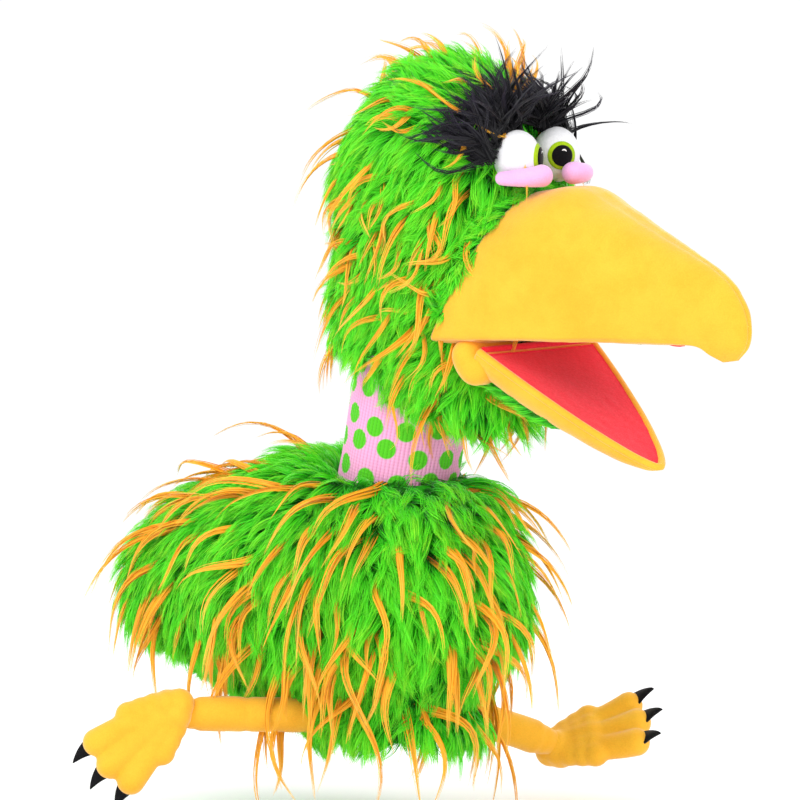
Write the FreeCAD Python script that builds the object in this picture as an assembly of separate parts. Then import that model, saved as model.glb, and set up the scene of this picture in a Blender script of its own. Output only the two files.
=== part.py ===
"""Moving mouth hand puppet: a furry long-necked bird with a big plush beak.

Built the way the sewn toy is built: fur panels round a stuffed body and a head,
an arm sleeve, a knitted neck tube, a plush beak in two halves over stiff mouth
boards with a felt mouth lining, finger and thumb pockets, plush eyes, lids, brows,
stuffed tube legs with three-toed feet and flat felt claws.
Millimetres, +Z up, the bird faces +X, its left side is +Y.
The origin is the centre of the arm opening at the foot of the sleeve.
"""
import FreeCAD, Part
import math
import os

os.makedirs("parts", exist_ok=True)
Vec = FreeCAD.Vector

# ---- driving dimensions, mm ------------------------------------------------
SLEEVE_R, SLEEVE_WALL, SLEEVE_TOP = 50.0, 2.0, 148.0    # arm sleeve lining
HEM_R, HEM_H = 54.5, 9.0                                # rolled hem at its foot
PILE = 22.0                                             # fur pile and backing of body and head
LINER = 7.0                                             # foam liner behind the head fur
NECK_FOOT = Vec(8, 0, 206)                              # where the neck bends on the body
NECK_HEAD = Vec(30, 0, 302)                             # where the head nods and turns
NECK_R, NECK_WALL, LINING_WALL = 48.0, 1.5, 1.2         # knitted tube and its lining
CUFF_R, CUFF_BORE, CUFF_H = 44.6, 42.4, 20.0            # elastic wrist cuff
SOCKET_GAP = 3.5                                        # fur kept clear of the neck ends
MOUTH = Vec(156, 0, 322)                                # mouth corner line, the jaw hinge
JAW_DROP = 34.0                                         # the mouth's opening at rest, degrees
FOLD_R = 2.6                                            # felt fold along the hinge line
ROLL_R, ROLL_GAP, ROLL_SECTOR = 33.0, 5.0, 30.0         # padded roll behind the jaw corners
BOARD, FELT = 2.5, 1.5                                  # mouth board and felt lining
PLUSH = 2.6                                             # plush cover of beak and feet
EYE = Vec(157, 23.3, 473)
EYE_SIZE = (19.0, 19.5, 22.4)                           # half sizes of an eye
LEG_R, LEG_WALL = 14.0, 2.0
HIP = Vec(-15, 68, 20)                                  # left hip; the right one mirrors it
LEG_WAY = {"left": (68, -19), "right": (226, 1)}        # azimuth and rise of each leg at rest, degrees
TOES = {"left": Vec(0.756, 0.580, 0.288), "right": Vec(-0.398, -0.634, -0.624)}
ACROSS = {"left": Vec(0.648, -0.421, -0.617), "right": Vec(0.518, 0.382, -0.717)}
LEG_LEN, HIP_TAB_R = 106.0, 6.0
FOOT_LEN, FOOT_HALF, FOOT_THICK = 84.0, 25.0, 22.0
CLAW_LEN, CLAW_HALF, CLAW_THICK = 14.0, 6.0, 2.6

# Horizontal sections: height, centre x, reach back, reach front, half width.
BODY = [
    (0, 2, 56, 56, 56), (10, 0, 66, 66, 64), (28, -26, 100, 100, 82), (56, -48, 153, 150, 101),
    (82, -64, 186, 182, 112), (110, -67, 195, 192, 116), (142, -66, 191, 188, 115), (176, -55, 179, 172, 107),
    (200, -42, 148, 146, 96), (218, -22, 116, 112, 83), (230, -4, 90, 84, 74),
]
HEAD = [
    (247, 120, 30, 28, 34), (258, 108, 56, 42, 54), (275, 90, 85, 58, 64), (290, 78, 105, 70, 70),
    (305, 72, 112, 76, 75), (330, 76, 121, 76, 79), (400, 80, 123, 80, 80), (460, 80, 123, 80, 79),
    (500, 78, 112, 74, 72), (525, 72, 92, 60, 58), (545, 66, 56, 44, 38), (556, 62, 20, 18, 15),
]
# Upper beak along its spine: lower point x, z, ridge point x, z, half width.
BEAK = [
    (104, 321, 168, 446, 73), (128, 323, 206, 452, 74), (180, 326, 240, 440, 67), (225, 328, 276, 424, 54),
    (265, 330, 311, 409, 41), (298, 331, 345, 394, 30), (322, 332, 369, 377, 22), (340, 331, 382, 353, 16),
    (350, 325, 380, 333, 11), (358, 320, 371, 322, 4),
]
# Lower jaw along its length from the hinge: distance, half width, depth, as sewn.
JAW = [
    (0, 70, 31), (20, 65, 31), (45, 58, 30), (70, 50, 27), (98, 40, 23), (125, 28, 18), (145, 17, 12), (156, 8, 7),
    (160, 3, 4),
]


# ---- small helpers -----------------------------------------------------------
def save(name, *shapes):
    """One STEP file for one node, as a solid or a group of solids."""
    solids = [s for shape in shapes for s in shape.Solids]
    shape = solids[0] if len(solids) == 1 else Part.makeCompound(solids)
    if not shape.isValid() or not solids:
        raise RuntimeError("bad solid " + name)
    shape.exportStep("parts/%s.step" % name)


def ring(points):
    """A closed smooth curve through the points."""
    curve = Part.BSplineCurve()
    curve.interpolate(Points=points, PeriodicFlag=True)
    return Part.Wire(curve.toShape())


def loft(rings):
    return Part.makeLoft([ring(p) for p in rings], True)


def angles(count=16):
    """Even steps round a section, clear of its plane of symmetry."""
    return [2 * math.pi * (i + 0.5) / count for i in range(count)]


def egg(section, inset=0.0, square=2.5):
    """One horizontal section, rounder behind and squarer in front."""
    z, x, back, front, half = section
    points = []
    for t in angles():
        c, s = math.cos(t), math.sin(t)
        power = 2 / square if c > 0 else 1.0
        reach = (front if c > 0 else back) - inset
        wide = math.copysign(abs(s) ** power, s)
        points.append(Vec(x + math.copysign(abs(c) ** power, c) * reach, wide * (half - inset), z))
    return points


def inner(sections, inset):
    """The same stack of sections moved in by the inset on every side."""
    low, high = sections[0][0] + inset, sections[-1][0] - inset
    kept = [s for s in sections if low + 6 < s[0] < high - 6]
    ends = []
    for z in (low, high):
        below = max((s for s in sections if s[0] <= z), key=lambda s: s[0])
        above = min((s for s in sections if s[0] > z), key=lambda s: s[0])
        f = (z - below[0]) / (above[0] - below[0])
        ends.append((z,) + tuple(b + (a - b) * f for b, a in zip(below[1:], above[1:])))
    return [s for s in [ends[0]] + kept + [ends[1]] if min(s[2:]) > inset + 5]


def box(low, high):
    return Part.makeBox(high[0] - low[0], high[1] - low[1], high[2] - low[2], Vec(*low))


def ball(centre, radius):
    return Part.makeSphere(radius, centre)


def tube(start, end, radius):
    return Part.makeCylinder(radius, (end - start).Length, start, end - start)


def ellipsoid(centre, half):
    shape = Part.makeSphere(1.0)
    matrix = FreeCAD.Matrix()
    matrix.scale(Vec(*half))
    shape = shape.transformGeometry(matrix)
    shape.translate(centre)
    return shape


def mirrored(shape):
    return shape.mirror(Vec(0, 0, 0), Vec(0, 1, 0))


def turned(shape, centre, axis, degrees):
    copy = shape.copy()
    copy.rotate(centre, axis, degrees)
    return copy


def jaw_pose(shape):
    """From the closed jaw, level behind the beak, to its place at rest."""
    return turned(shape, MOUTH, Vec(0, 1, 0), JAW_DROP)


# ---- shared volumes ------------------------------------------------------------
neck_dir = (NECK_HEAD - NECK_FOOT).normalize()
far = 900.0
body_outer = loft([egg(s, square=2.0) for s in BODY])
body_inner = loft([egg(s, PILE, 2.0) for s in inner(BODY, PILE)])
head_outer = loft([egg(s) for s in HEAD])
head_inner = loft([egg(s, PILE) for s in inner(HEAD, PILE)])
head_core = loft([egg(s, PILE + LINER) for s in inner(HEAD, PILE + LINER)])


def flare(centre, direction, radius, slope, length):
    """Room for a tube that tips about the centre."""
    return Part.makeCone(radius, radius + slope * length, length, centre, direction)


body_socket = ball(NECK_FOOT, NECK_R + 2 + SOCKET_GAP).fuse(
    flare(NECK_FOOT, neck_dir, NECK_R + 2 + SOCKET_GAP, 0.42, 60))
head_socket = ball(NECK_HEAD, NECK_R + SOCKET_GAP).fuse(
    flare(NECK_HEAD, neck_dir * -1, NECK_R + SOCKET_GAP, 0.42, 90))
roll_room = tube(MOUTH - Vec(0, 95, 0), MOUTH + Vec(0, 95, 0), ROLL_R + ROLL_GAP)
jaw_room = box((MOUTH.x - 4, -95, MOUTH.z - 160), (MOUTH.x + 200, 95, MOUTH.z + 2))


def along(azimuth, rise):
    a, r = math.radians(azimuth), math.radians(rise)
    return Vec(math.cos(a) * math.cos(r), math.sin(a) * math.cos(r), math.sin(r))


def hip_room(hip, way):
    """Room for a leg that swings, lifts and drops at its hip."""
    azimuth, rise = way
    room = ball(hip, LEG_R + 7)
    for drop in (0, -24, -46):
        direction = along(azimuth, rise + drop)
        room = room.fuse(Part.makeCone(LEG_R + 5, LEG_R + 5 + 70 * 0.46, 70, hip, direction))
    return room


# ---- body: the root --------------------------------------------------------------
def build_body():
    sleeve_out = SLEEVE_R + SLEEVE_WALL
    axis_top = Vec(0, 0, SLEEVE_TOP)
    sleeve = tube(Vec(0, 0, 0), axis_top, sleeve_out).cut(tube(Vec(0, 0, 0), axis_top, SLEEVE_R))
    hem = tube(Vec(0, 0, 0), Vec(0, 0, HEM_H), HEM_R).cut(tube(Vec(0, 0, 0), Vec(0, 0, HEM_H), sleeve_out))
    save("arm_sleeve", sleeve)
    save("sleeve_hem", hem)

    arm_room = tube(Vec(0, 0, -5), Vec(0, 0, SLEEVE_TOP), sleeve_out)
    arm_room = arm_room.fuse(tube(Vec(0, 0, SLEEVE_TOP - 1), Vec(0, 0, 260), SLEEVE_R + 4))
    hem_room = tube(Vec(0, 0, -5), Vec(0, 0, HEM_H), HEM_R)
    hips = hip_room(HIP, LEG_WAY["left"]).fuse(hip_room(Vec(HIP.x, -HIP.y, HIP.z), LEG_WAY["right"]))
    shell = body_outer.cut(body_inner).cut(body_socket).cut(arm_room).cut(hem_room).cut(hips)
    base = shell.common(box((-far, -far, -10), (far, far, 24)))
    side = shell.cut(box((-far, -far, -10), (far, far, 24)))
    chest_x, rump_x = 62.0, -178.0
    save("body_fur_base", base)
    save("body_fur_chest", side.common(box((chest_x, -far, 0), (far, far, far))))
    save("body_fur_rump", side.common(box((-far, -far, 0), (rump_x, far, far))))
    save("body_fur_left", side.common(box((rump_x, 0, 0), (chest_x, far, far))))
    save("body_fur_right", side.common(box((rump_x, -far, 0), (chest_x, 0, far))))

    filling = body_inner.cut(arm_room).cut(body_socket).cut(hips)
    save("body_stuffing", filling)

    collar = tube(Vec(0, 0, SLEEVE_TOP), Vec(0, 0, SLEEVE_TOP + 4), SLEEVE_R + 4)
    save("sleeve_seam_band", collar.cut(tube(Vec(0, 0, SLEEVE_TOP), Vec(0, 0, SLEEVE_TOP + 4), SLEEVE_R)))


# ---- neck and wrist cuff ------------------------------------------------------------
def build_neck():
    reach = 18.0
    low, high = NECK_FOOT - neck_dir * reach, NECK_HEAD + neck_dir * reach
    length = (high - low).Length
    outer = tube(NECK_FOOT, NECK_HEAD, NECK_R).fuse(ball(NECK_FOOT, NECK_R + 2)).fuse(ball(NECK_HEAD, NECK_R))
    outer = outer.common(tube(low, high, NECK_R + 10))
    lining_r = NECK_R - NECK_WALL
    bore = Part.makeCylinder(lining_r, length + 20, low - neck_dir * 10, neck_dir)
    save("neck_knit", outer.cut(bore))
    lining = tube(NECK_FOOT - neck_dir * 14, NECK_HEAD + neck_dir * 10, lining_r)
    save("neck_lining", lining.cut(tube(low, high, lining_r - LINING_WALL)))
    half = neck_dir * (CUFF_H / 2)
    cuff = tube(NECK_HEAD - half, NECK_HEAD + half, CUFF_R)
    save("wrist_cuff", cuff.cut(tube(NECK_HEAD - half * 2, NECK_HEAD + half * 2, CUFF_BORE)))


# ---- beak -----------------------------------------------------------------------------
def beak_ring(section, inset=0.0):
    """A rounded D standing on its flat side."""
    low_x, low_z, top_x, top_z, half = section
    low, top = Vec(low_x, 0, low_z), Vec(top_x, 0, top_z)
    up = top - low
    tall = up.Length
    up = up.normalize()
    points = []
    for t in angles():
        c, s = math.cos(t), math.sin(t)
        wide = math.copysign(abs(c) ** 0.86, c)
        level = 0.13 + 0.87 * s if s > 0 else 0.13 * (1 - abs(s) ** 0.4)
        height = inset + (tall - 2 * inset) * level
        points.append(low + up * height + Vec(0, wide * (half - inset), 0))
    return points


beak_outer = loft([beak_ring(s) for s in BEAK])
beak_inner = loft([beak_ring(s, PLUSH) for s in BEAK[:-2]])
mouth_low = MOUTH.z + 4.0


def mouth_outline(inset, start):
    """Half widths of the mouth boards from the hinge to the tip, as a flat face at the hinge height."""
    (u0, half0, _), (u1, half1, _) = JAW[:2]
    first = half0 + (half1 - half0) * (start - u0) / (u1 - u0)
    right = [Vec(MOUTH.x + start, first - inset, MOUTH.z)]
    right += [Vec(MOUTH.x + u, half - inset, MOUTH.z) for u, half, _ in JAW if half > inset + 2 and u > start + 1]
    left = [Vec(p.x, -p.y, p.z) for p in reversed(right)]
    return Part.Face(Part.makePolygon(right + left + [right[0]]))


def board(inset, start, z, thick):
    plate = mouth_outline(inset, start).extrude(Vec(0, 0, thick))
    plate.translate(Vec(0, 0, z - MOUTH.z))
    return plate


def build_upper_beak():
    pocket_half, pocket_end = 38.0, 18.0
    pocket = Part.makeLoft([
        Part.makePolygon([Vec(x, -h, 332), Vec(x, h, 332), Vec(x, h, 332 + t), Vec(x, -h, 332 + t), Vec(x, -h, 332)])
        for x, h, t in ((96, pocket_half, 34), (284, pocket_end, 20))], True)
    wall = Part.makeLoft([
        Part.makePolygon([Vec(x, -h, 331), Vec(x, h, 331), Vec(x, h, 331 + t), Vec(x, -h, 331 + t), Vec(x, -h, 331)])
        for x, h, t in ((96, pocket_half + 1.2, 36), (285, pocket_end + 1.2, 22))], True)
    felt = board(8.0, 3.2, mouth_low, FELT)
    plate = board(9.0, 3.2, mouth_low + FELT, BOARD)
    under = board(8.0, -6.0, mouth_low - 20, 20 + FELT + BOARD)
    cavity = box((-far, -far, 0), (134, far, far))
    cover = beak_outer.cut(beak_inner).cut(under).cut(box((134, -far, 0), (330, far, mouth_low))).cut(wall)
    stuffing = beak_inner.cut(under).cut(box((-far, -far, 0), (far, far, mouth_low + FELT + BOARD)))
    stuffing = stuffing.cut(wall).cut(cavity)
    save("upper_mouth_lining", felt)
    save("upper_mouth_board", plate)
    save("upper_beak_cover", cover)
    save("upper_beak_stuffing", stuffing)
    save("finger_pocket", wall.cut(pocket).cut(cavity))
    half = JAW[0][1] - 8
    save("mouth_fold", tube(MOUTH - Vec(0, half, 0), MOUTH + Vec(0, half, 0), FOLD_R))
    return under


def jaw_ring(u, half, depth, inset=0.0):
    points = []
    for t in angles():
        c, s = math.cos(t), math.sin(t)
        level = (1.0 - inset) * s if s > 0 else (depth - inset) * -(abs(s) ** 0.9)
        points.append(MOUTH + Vec(u, math.copysign(abs(c) ** 0.8, c) * (half - inset), level))
    return points


def build_jaw():
    spoon = loft([jaw_ring(*s) for s in JAW])
    inside = loft([jaw_ring(*s, inset=PLUSH) for s in JAW[:-1]])
    # The padded roll behind each mouth corner: a barrel's sector below and behind the hinge.
    near = FOLD_R + 0.6
    barrel = ((near, 18), (ROLL_R - 6, 20), (ROLL_R - 1, 30), (ROLL_R, 42), (ROLL_R - 2, 56), (ROLL_R - 9, 68),
              (near + 6, 73), (near, 73))
    outline = [MOUTH + Vec(0, y, -r) for r, y in barrel]
    pad = Part.Face(Part.makePolygon(outline + [outline[0]])).revolve(MOUTH, Vec(0, 1, 0), ROLL_SECTOR)
    rolls = [pad, mirrored(pad)]
    cover = spoon.cut(inside)
    hinge_clear = tube(MOUTH - Vec(0, 90, 0), MOUTH + Vec(0, 90, 0), FOLD_R + 0.6)
    felt = board(8.0, 3.4, MOUTH.z - 0.6 - FELT, FELT)
    plate = board(9.0, 3.4, MOUTH.z - 0.6 - FELT - BOARD, BOARD)
    well = board(8.0, -2.0, MOUTH.z - 0.6 - FELT - BOARD, 20)
    thumb = box((MOUTH.x - 60, -17, MOUTH.z - 26), (MOUTH.x + 74, 17, MOUTH.z - 6.4))
    thumb_wall = box((MOUTH.x + 2, -18.2, MOUTH.z - 27.2), (MOUTH.x + 75, 18.2, MOUTH.z - 5.2))
    cover = cover.cut(well).cut(hinge_clear).cut(thumb_wall)
    stuffing = inside.cut(well).cut(thumb_wall).cut(hinge_clear)
    fur = loft([jaw_ring(u, half * 0.80, depth + 10) for u, half, depth in JAW[2:5]]).cut(spoon).cut(thumb_wall)
    fur = fur.cut(box((MOUTH.x, -90, MOUTH.z - 14), (far, 90, MOUTH.z + 10)))
    save("lower_beak_cover", jaw_pose(cover))
    save("lower_beak_stuffing", jaw_pose(stuffing))
    save("lower_mouth_lining", jaw_pose(felt))
    save("lower_mouth_board", jaw_pose(plate))
    save("thumb_pocket", jaw_pose(thumb_wall.cut(thumb)))
    save("mouth_corner_rolls", *[jaw_pose(r) for r in rolls])
    save("jaw_fur", jaw_pose(fur))


# ---- face: eyes, lids and brows ---------------------------------------------------------
def build_face():
    """Everything on the left side; the right side mirrors it. Returns the room the face takes."""
    eye = ellipsoid(EYE, EYE_SIZE)
    gaze = Vec(math.cos(math.radians(30)), -math.sin(math.radians(30)), 0.02)
    look = EYE + gaze * (EYE_SIZE[0] - 1.4)
    iris_r, pupil_r, disc = 11.4, 8.5, 1.1
    socket = tube(look, look + gaze * 30, iris_r + 0.1)
    iris = tube(look, look + gaze * disc, iris_r)
    pupil = tube(look + gaze * disc, look + gaze * 2 * disc, pupil_r)
    spot_at = look + gaze * 2 * disc + Vec(0, 0, 3.4)
    spot = tube(spot_at, spot_at + gaze * 0.7, 2.0)
    lid_rings = []
    for f, radius in ((-0.06, 3), (0, 7.5), (0.1, 9.4), (0.3, 9.0), (0.55, 7.8), (0.8, 6.4), (0.96, 4.6), (1.02, 2)):
        turn = math.radians(-12 + 92 * f)
        out = Vec(math.cos(turn), math.sin(turn), 0)
        centre = EYE + out * 22.5 + Vec(0, 0, -13.5 - 1.5 * f)
        lid_rings.append([centre + out * math.cos(t) * radius + Vec(0, 0, math.sin(t) * radius) for t in angles(12)])
    lid = loft(lid_rings).cut(eye).cut(beak_outer).cut(tube(look - gaze * 4, look + gaze * 30, iris_r + 0.6))
    eye = eye.cut(beak_outer).cut(socket)
    # The brow is a fan of long pile: a leaning blade swept over the top of the eye.
    blade = ((-13, 24), (-5, 26), (-30, 62), (-36, 58))
    fan_start, fan_sweep = -8.0, 116.0
    outline = [EYE + Vec(x, r, 0) for x, r in blade]
    brow = Part.Face(Part.makePolygon(outline + [outline[0]]))
    brow = turned(brow, EYE, Vec(1, 0, 0), fan_start).revolve(EYE, Vec(1, 0, 0), fan_sweep)
    pieces = {"eye": eye, "iris": iris, "pupil": pupil, "eye_spot": spot, "eyelid": lid, "eyebrow": brow}
    for name, shape in pieces.items():
        save(name + "_left", shape)
        save(name + "_right", mirrored(shape))
    room = brow.fuse(ellipsoid(EYE, EYE_SIZE)).fuse(lid)
    return room.fuse(mirrored(room))


# ---- head ---------------------------------------------------------------------------------
def build_head(face_room, mouth_room):
    pocket_way = box((20, -39.5, 331), (140, 39.5, 368))
    mouth_block = roll_room.cut(box((-far, -far, mouth_low), (far, far, far))).fuse(jaw_room)
    shell = head_outer.cut(head_inner)
    for room in (beak_outer, face_room, head_socket, mouth_block, mouth_room):
        shell = shell.cut(room)
    crown_half, throat_z, nape_x = 22.0, 296.0, -8.0
    throat = shell.common(box((70, -far, 0), (far, far, throat_z)))
    rest = shell.cut(box((70, -far, 0), (far, far, throat_z)))
    crown = rest.common(box((nape_x, -crown_half, 430), (far, crown_half, far)))
    rest = rest.cut(box((nape_x, -crown_half, 430), (far, crown_half, far)))
    nape = rest.common(box((-far, -far, 0), (nape_x, far, far)))
    rest = rest.cut(box((-far, -far, 0), (nape_x, far, far)))
    save("throat_fur", throat)
    save("head_fur_crown", crown)
    save("head_fur_nape", nape)
    save("head_fur_left", rest.common(box((-far, 0, 0), (far, far, far))))
    save("head_fur_right", rest.common(box((-far, -far, 0), (far, 0, far))))
    liner = head_inner.cut(head_core)
    for room in (beak_outer, face_room, head_socket, mouth_block, mouth_room, pocket_way):
        liner = liner.cut(room)
    save("head_liner", liner)


# ---- legs -----------------------------------------------------------------------------------
def build_leg(name, hip):
    """A stuffed tube from the hip, then a flat three-toed foot fanned along its toes' direction."""
    direction, toes, across = along(*LEG_WAY[name]), Vec(TOES[name]), ACROSS[name]
    start = hip + direction * 9
    end = hip + direction * LEG_LEN
    save("hip_tab_" + name, ball(hip, HIP_TAB_R))
    hip_clear = Part.makeSphere(HIP_TAB_R + 1, hip, Vec(0.3, 0.5, 0.8))
    outer = tube(start, end, LEG_R).cut(hip_clear).fuse(ball(start, LEG_R).cut(hip_clear))
    ankle = end + direction * 9
    outer = outer.cut(ball(ankle, LEG_R - 1))
    fill = tube(start + direction * 4, end - direction * 16, LEG_R - LEG_WALL)
    fill = fill.cut(hip_clear)
    save("leg_" + name, outer.cut(fill))
    save("leg_stuffing_" + name, fill)

    toes = toes.normalize()
    normal = toes.cross(across).normalize()
    across = normal.cross(toes)
    frame = FreeCAD.Placement(ankle, FreeCAD.Rotation(toes, across, normal, "XYZ"))
    flat = FOOT_THICK / 2

    def foot_body(inset):
        sole = loft([[Vec(x, math.cos(t) * (h - inset), math.sin(t) * (f - inset)) for t in angles(12)]
                     for x, h, f in ((-8 + inset, 6, 6), (4, 10, 9), (15, 13.5, 10.5), (28, 20, flat), (44, FOOT_HALF, flat),
                                     (60 - inset, FOOT_HALF - 1, flat - 1))])
        for spread in (-1, 0, 1):
            tip = Vec(FOOT_LEN - 10 - 4 * abs(spread), spread * 20, 0)
            sole = sole.fuse(tube(Vec(42, spread * 15.5, 0), tip, 9.6 - inset)).fuse(ball(tip, 9.6 - inset))
        return sole

    foot = foot_body(0)
    stuffing = foot_body(PLUSH)
    claws = []
    for spread in (-1, 0, 1):
        tip = Vec(FOOT_LEN - 10 - 4 * abs(spread), spread * 20, 0)
        lean = Vec(1, spread * 0.18, -0.5).normalize()
        side = Vec(-lean.y, lean.x, 0).normalize()
        thick = lean.cross(side) * CLAW_THICK
        base, point = tip + lean * 8.5 - thick * 0.5, tip + lean * (9 + CLAW_LEN) + side * 3 - thick * 0.5
        outline = [base - side * CLAW_HALF, point, base + side * CLAW_HALF]
        claw = Part.Face(Part.makePolygon(outline + [outline[0]])).extrude(thick)
        claws.append(claw.cut(foot))
    cover = foot.cut(stuffing)
    for shape in [cover, stuffing] + claws:
        shape.Placement = frame.multiply(shape.Placement)
    save("foot_" + name, cover)
    save("foot_stuffing_" + name, stuffing)
    save("claws_" + name, *claws)


build_body()
build_neck()
mouth_boards = build_upper_beak()
build_jaw()
face = build_face()
build_head(face, mouth_boards)
build_leg("left", HIP)
build_leg("right", Vec(HIP.x, -HIP.y, HIP.z))
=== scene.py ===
"""Looks of the moving mouth hand puppet: fur pile, knitted neck, plush beak, felt mouth, eyes, legs and feet."""

import math

import bmesh
import bpy
import numpy as np
from mathutils import Matrix, Vector, noise
from mathutils.kdtree import KDTree


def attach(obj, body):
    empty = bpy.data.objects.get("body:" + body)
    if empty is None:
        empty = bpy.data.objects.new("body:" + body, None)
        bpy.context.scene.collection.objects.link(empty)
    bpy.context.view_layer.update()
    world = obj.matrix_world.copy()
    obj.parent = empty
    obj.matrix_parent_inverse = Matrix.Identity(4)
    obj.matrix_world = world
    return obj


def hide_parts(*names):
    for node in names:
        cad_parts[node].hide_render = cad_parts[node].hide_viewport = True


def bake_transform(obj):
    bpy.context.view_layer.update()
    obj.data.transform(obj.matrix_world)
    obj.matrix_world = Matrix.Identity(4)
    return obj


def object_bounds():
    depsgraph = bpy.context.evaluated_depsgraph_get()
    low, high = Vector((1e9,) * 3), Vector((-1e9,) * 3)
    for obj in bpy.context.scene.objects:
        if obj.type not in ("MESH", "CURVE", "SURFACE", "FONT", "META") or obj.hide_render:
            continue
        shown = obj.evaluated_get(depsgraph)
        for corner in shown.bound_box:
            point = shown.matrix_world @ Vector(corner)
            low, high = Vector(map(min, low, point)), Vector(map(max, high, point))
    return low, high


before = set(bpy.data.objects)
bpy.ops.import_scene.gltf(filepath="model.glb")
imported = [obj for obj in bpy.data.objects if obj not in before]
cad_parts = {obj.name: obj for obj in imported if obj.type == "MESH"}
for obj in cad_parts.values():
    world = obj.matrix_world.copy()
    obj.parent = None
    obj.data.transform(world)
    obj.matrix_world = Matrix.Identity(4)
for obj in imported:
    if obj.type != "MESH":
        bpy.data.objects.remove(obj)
cad_bounds = [list(p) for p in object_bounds()]
MM = 0.001
TURN = 2 * math.pi

# ---- the object's own dimensions, mm ---------------------------------------
NECK_FOOT = np.array((8.0, 0.0, 206.0))
NECK_HEAD = np.array((30.0, 0.0, 302.0))
NECK_R = 48.0
# the mouth's hinge, and how far the jaw hangs open at rest
MOUTH = np.array((156.0, 0.0, 322.0))
JAW_DROP = math.radians(34)
EYE = np.array((157.0, 23.3, 473.0))
EYE_SIZE = np.array((19.0, 19.5, 22.4))
HIP = {"left": np.array((-15.0, 68.0, 20.0)), "right": np.array((-15.0, -68.0, 20.0))}
LEG_LEN, LEG_R, ANKLE_AT = 106.0, 14.0, 115.0
FOOT_LEN = 84.0

# height, centre x, reach back, reach front, half width
BODY = np.array([
    (0, 2, 56, 56, 56), (10, 0, 66, 66, 64), (28, -26, 100, 100, 82), (56, -48, 153, 150, 101),
    (82, -64, 186, 182, 112), (110, -67, 195, 192, 116), (142, -66, 191, 188, 115), (176, -55, 179, 172, 107),
    (200, -42, 148, 146, 96), (218, -22, 116, 112, 83), (230, -4, 90, 84, 74)], float)
HEAD = np.array([
    (247, 120, 30, 28, 34), (258, 108, 56, 42, 54), (275, 90, 85, 58, 64), (290, 78, 105, 70, 70),
    (305, 72, 112, 76, 75), (330, 76, 121, 76, 79), (400, 80, 123, 80, 80), (460, 80, 123, 80, 79),
    (500, 78, 112, 74, 72), (525, 72, 92, 60, 58), (545, 66, 56, 44, 38), (556, 62, 20, 18, 15)], float)
# lower point x, z, ridge point x, z, half width
BEAK = np.array([
    (104, 321, 168, 446, 73), (128, 323, 206, 452, 74), (180, 326, 240, 440, 67), (225, 328, 276, 424, 54),
    (265, 330, 311, 409, 41), (298, 331, 345, 394, 30), (322, 332, 369, 377, 22), (340, 331, 382, 353, 16),
    (350, 325, 380, 333, 11), (358, 320, 371, 322, 4)], float)
# the closed jaw: distance from the hinge, half width, depth
JAW = np.array([
    (0, 70, 31), (20, 65, 31), (45, 58, 30), (70, 50, 27), (98, 40, 23), (125, 28, 18), (145, 17, 12), (156, 8, 7),
    (160, 3, 4)], float)


# ---- small maths ---------------------------------------------------------------
def unit(v):
    return v / np.maximum(np.linalg.norm(v, axis=-1, keepdims=True), 1e-9)


def ramp(x, low, high):
    t = np.clip((x - low) / (high - low), 0, 1)
    return t * t * (3 - 2 * t)


def smooth_table(table, count):
    """Rows of the table joined by a smooth curve, at evenly spaced steps of its length."""
    keys = np.concatenate([[0], np.cumsum(np.linalg.norm(np.diff(table[:, :4], axis=0), axis=1))])
    at = np.linspace(0, keys[-1], count)
    slope = np.gradient(table, keys, axis=0)
    i = np.clip(np.searchsorted(keys, at, side="right") - 1, 0, len(keys) - 2)
    h = (keys[i + 1] - keys[i])[:, None]
    t = (at[:, None] - keys[i][:, None]) / h
    return (table[i] * (2 * t**3 - 3 * t**2 + 1) + slope[i] * h * (t**3 - 2 * t**2 + t)
            + table[i + 1] * (3 * t**2 - 2 * t**3) + slope[i + 1] * h * (t**3 - t**2))


def turn_about(points, centre, axis, angle):
    m = np.array(Matrix.Rotation(angle, 3, Vector(axis)))
    return (points - centre) @ m.T + centre


def jaw_place(points):
    """From the closed jaw's own frame to its place at rest."""
    return turn_about(points, MOUTH, (0, 1, 0), JAW_DROP)


def along(azimuth, rise):
    a, r = math.radians(azimuth), math.radians(rise)
    return np.array((math.cos(a) * math.cos(r), math.sin(a) * math.cos(r), math.sin(r)))


def lumps(points, scale, seed=0.0):
    """A smooth random value for each point, about -1 to 1."""
    return np.array([noise.noise(Vector(p) / scale + Vector((seed, seed * 1.7, -seed))) for p in points])


# ---- meshes -----------------------------------------------------------------------
def mesh_object(name, points, faces, attributes=()):
    """A smooth mesh object from points in mm and faces all of one size."""
    faces = np.asarray(faces, np.int32)
    me = bpy.data.meshes.new(name)
    me.vertices.add(len(points))
    me.vertices.foreach_set("co", (np.asarray(points, float) * MM).ravel())
    me.loops.add(faces.size)
    me.loops.foreach_set("vertex_index", faces.ravel())
    me.polygons.add(len(faces))
    me.polygons.foreach_set("loop_start", np.arange(0, faces.size, faces.shape[1], dtype=np.int32))
    me.polygons.foreach_set("use_smooth", np.full(len(faces), True))
    for key, values in attributes:
        me.attributes.new(key, "FLOAT", "POINT").data.foreach_set("value", np.asarray(values, np.float32))
    me.update()
    me.validate()
    ob = bpy.data.objects.new(name, me)
    bpy.context.scene.collection.objects.link(ob)
    return ob


def grid_faces(rows, cols, wrap):
    """Quads of a grid of points, closed round its columns if wrap is true."""
    r = np.arange(rows - 1)[:, None]
    c = np.arange(cols if wrap else cols - 1)[None, :]
    n = (c + 1) % cols
    return np.stack([r * cols + c, r * cols + n, (r + 1) * cols + n, (r + 1) * cols + c], -1).reshape(-1, 4)


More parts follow.
